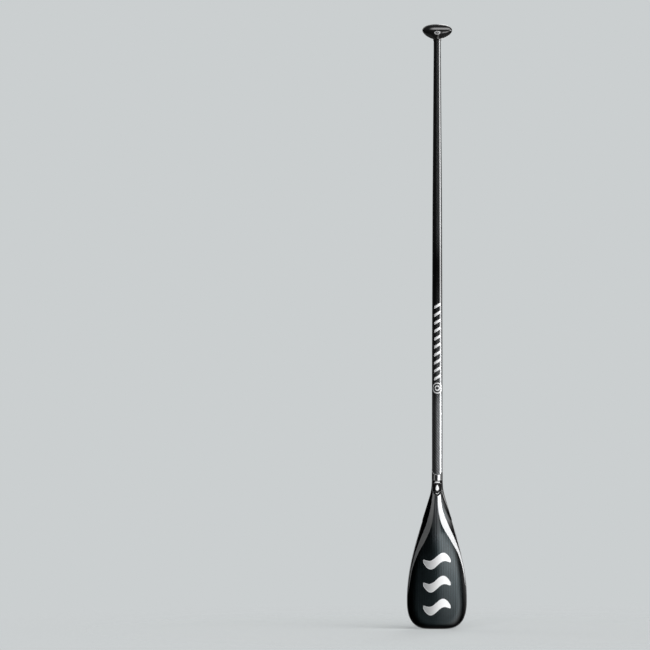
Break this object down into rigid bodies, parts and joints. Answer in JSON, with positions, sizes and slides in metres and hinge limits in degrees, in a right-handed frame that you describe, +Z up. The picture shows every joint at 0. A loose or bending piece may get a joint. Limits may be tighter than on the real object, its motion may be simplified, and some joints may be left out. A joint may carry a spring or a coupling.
{
  "type": "paddle",
  "caption": "Stand-up paddle with a flat carbon blade, a round tapering carbon shaft and a palm grip.",
  "frame": {"origin": "on the shaft's axis, in the middle of the straight stretch that a storage clip holds, 620 mm above the blade's tip", "axes": "+Z up the shaft to the grip, -Y out of the blade's power face, X across the blade"},
  "size_m": [0.189, 0.0939, 1.905],
  "materials": {
    "carbon_shaft": "twill carbon under clear gloss coat",
    "carbon_blade": "ribbed carbon weave under clear gloss coat",
    "carbon_grip": "gloss black carbon",
    "edge_plastic": "woven edge strip in clear resin",
    "silver_paint": "metallic silver paint under clear coat",
    "badge_black": "gloss black film",
    "foam": "closed-cell foam",
    "inner_laminate": "raw laminate",
    "adhesive": "cured epoxy"
  },
  "bodies": {
    "root": {"shaft_tube": "carbon_shaft", "shaft_lower_plug": "foam", "shaft_upper_plug": "foam", "neck_spigot": "inner_laminate", "neck_adhesive": "adhesive", "blade_spine": "inner_laminate", "blade_core_left": "foam", "blade_core_right": "foam", "power_face_skin": "carbon_blade", "back_face_skin": "carbon_blade", "edge_guard": "edge_plastic", "swoosh_left": "silver_paint", "swoosh_right": "silver_paint", "blade_waves": "silver_paint", "badge_base": "badge_black", "badge_border": "silver_paint", "badge_symbol": "silver_paint", "grip_front_shell": "carbon_grip", "grip_back_shell": "carbon_grip", "grip_core": "foam", "grip_stem": "inner_laminate", "grip_adhesive": "adhesive", "grip_ring": "silver_paint", "shaft_dashes": "silver_paint", "shaft_ring": "silver_paint"}
  },
  "joints": []
}
